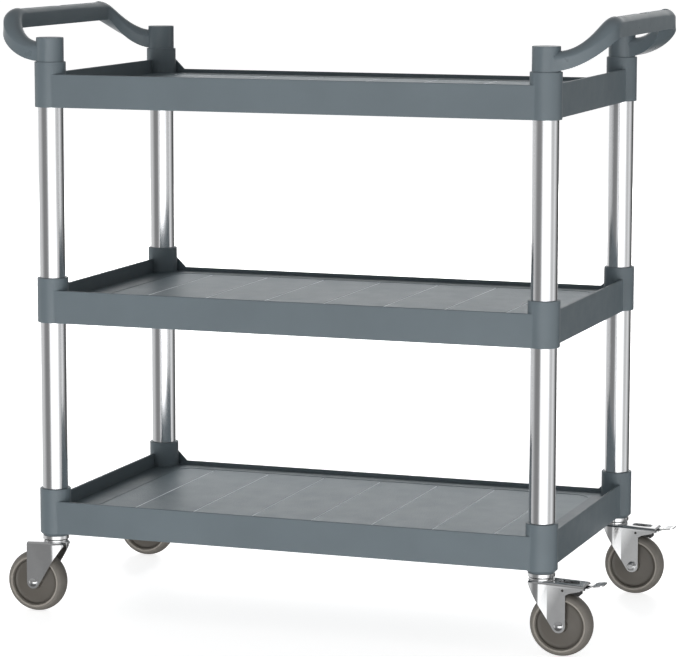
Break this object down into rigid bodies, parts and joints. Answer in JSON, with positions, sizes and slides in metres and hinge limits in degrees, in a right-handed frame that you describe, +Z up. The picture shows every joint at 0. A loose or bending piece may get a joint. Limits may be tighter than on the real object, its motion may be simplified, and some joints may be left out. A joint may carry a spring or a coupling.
{
  "type": "service trolley",
  "caption": "Food service trolley with moulded plastic shelves on aluminium posts, a handle at each end and swivel casters, some with foot brakes.",
  "frame": {"origin": "on the floor under the centre of the trolley", "axes": "+X along the trolley towards the end with the braked casters, +Y across it towards the side with the low shelf lips, +Z up"},
  "size_m": [1.0221, 0.5, 0.9777],
  "materials": {
    "shelf_plastic": "slate grey moulded polypropylene with a fine pebble texture on the decks",
    "handle_plastic": "slate grey moulded plastic, satin",
    "post_aluminium": "satin drawn aluminium tube",
    "plated_steel": "bright zinc plate on pressed steel",
    "bearing_steel": "polished",
    "socket_plastic": "black nylon",
    "brake_plastic": "black nylon",
    "wheel_core": "dark warm grey polypropylene",
    "tyre_rubber": "warm grey non-marking rubber"
  },
  "bodies": {
    "root": {"shelf_bottom": "shelf_plastic", "shelf_middle": "shelf_plastic", "shelf_top": "shelf_plastic", "post_lower_fl": "post_aluminium", "post_upper_fl": "post_aluminium", "post_lower_fr": "post_aluminium", "post_upper_fr": "post_aluminium", "post_lower_bl": "post_aluminium", "post_upper_bl": "post_aluminium", "post_lower_br": "post_aluminium", "post_upper_br": "post_aluminium", "handle_left": "handle_plastic", "handle_right": "handle_plastic", "stem_fl": "plated_steel", "stem_socket_fl": "socket_plastic", "bearing_balls_fl": "bearing_steel", "stem_fr": "plated_steel", "stem_socket_fr": "socket_plastic", "bearing_balls_fr": "bearing_steel", "stem_bl": "plated_steel", "stem_socket_bl": "socket_plastic", "bearing_balls_bl": "bearing_steel", "stem_br": "plated_steel", "stem_socket_br": "socket_plastic", "bearing_balls_br": "bearing_steel"},
    "swivel_fl": {"fork_fl": "plated_steel", "wheel_bush_fl": "plated_steel", "axle_bolt_fl": "plated_steel", "axle_nut_fl": "plated_steel"},
    "wheel_fl": {"wheel_core_fl": "wheel_core", "tyre_fl": "tyre_rubber"},
    "swivel_fr": {"fork_fr": "plated_steel", "wheel_bush_fr": "plated_steel", "axle_bolt_fr": "plated_steel", "axle_nut_fr": "plated_steel", "brake_pin_fr": "plated_steel"},
    "wheel_fr": {"wheel_core_fr": "wheel_core", "tyre_fr": "tyre_rubber"},
    "pedal_fr": {"brake_pedal_fr": "plated_steel", "brake_shoe_fr": "brake_plastic", "brake_spring_fr": "plated_steel"},
    "swivel_bl": {"fork_bl": "plated_steel", "wheel_bush_bl": "plated_steel", "axle_bolt_bl": "plated_steel", "axle_nut_bl": "plated_steel"},
    "wheel_bl": {"wheel_core_bl": "wheel_core", "tyre_bl": "tyre_rubber"},
    "swivel_br": {"fork_br": "plated_steel", "wheel_bush_br": "plated_steel", "axle_bolt_br": "plated_steel", "axle_nut_br": "plated_steel", "brake_pin_br": "plated_steel"},
    "wheel_br": {"wheel_core_br": "wheel_core", "tyre_br": "tyre_rubber"},
    "pedal_br": {"brake_pedal_br": "plated_steel", "brake_shoe_br": "brake_plastic", "brake_spring_br": "plated_steel"}
  },
  "joints": [
    {"name": "swivel_fl", "type": "hinge", "parent": "root", "child": "swivel_fl", "pos_m": [-0.41, -0.225, 0.12], "axis": [0, 0, 1], "continuous": true},
    {"name": "wheel_fl_spin", "type": "hinge", "parent": "swivel_fl", "child": "wheel_fl", "pos_m": [-0.443, -0.225, 0.05], "axis": [0, 1, 0], "continuous": true},
    {"name": "swivel_fr", "type": "hinge", "parent": "root", "child": "swivel_fr", "pos_m": [0.41, -0.225, 0.12], "axis": [0, 0, 1], "continuous": true},
    {"name": "wheel_fr_spin", "type": "hinge", "parent": "swivel_fr", "child": "wheel_fr", "pos_m": [0.443, -0.225, 0.05], "axis": [0, 1, 0], "continuous": true},
    {"name": "brake_fr", "type": "hinge", "parent": "swivel_fr", "child": "pedal_fr", "pos_m": [0.449, -0.225, 0.1065], "axis": [0, 1, 0], "range_deg": [0, 12], "stiffness_Nm_per_rad": 0.6, "springref_deg": -5.73},
    {"name": "swivel_bl", "type": "hinge", "parent": "root", "child": "swivel_bl", "pos_m": [-0.41, 0.225, 0.12], "axis": [0, 0, 1], "continuous": true},
    {"name": "wheel_bl_spin", "type": "hinge", "parent": "swivel_bl", "child": "wheel_bl", "pos_m": [-0.443, 0.225, 0.05], "axis": [0, 1, 0], "continuous": true},
    {"name": "swivel_br", "type": "hinge", "parent": "root", "child": "swivel_br", "pos_m": [0.41, 0.225, 0.12], "axis": [0, 0, 1], "continuous": true},
    {"name": "wheel_br_spin", "type": "hinge", "parent": "swivel_br", "child": "wheel_br", "pos_m": [0.443, 0.225, 0.05], "axis": [0, 1, 0], "continuous": true},
    {"name": "brake_br", "type": "hinge", "parent": "swivel_br", "child": "pedal_br", "pos_m": [0.449, 0.225, 0.1065], "axis": [0, 1, 0], "range_deg": [0, 12], "stiffness_Nm_per_rad": 0.6, "springref_deg": -5.73}
  ]
}
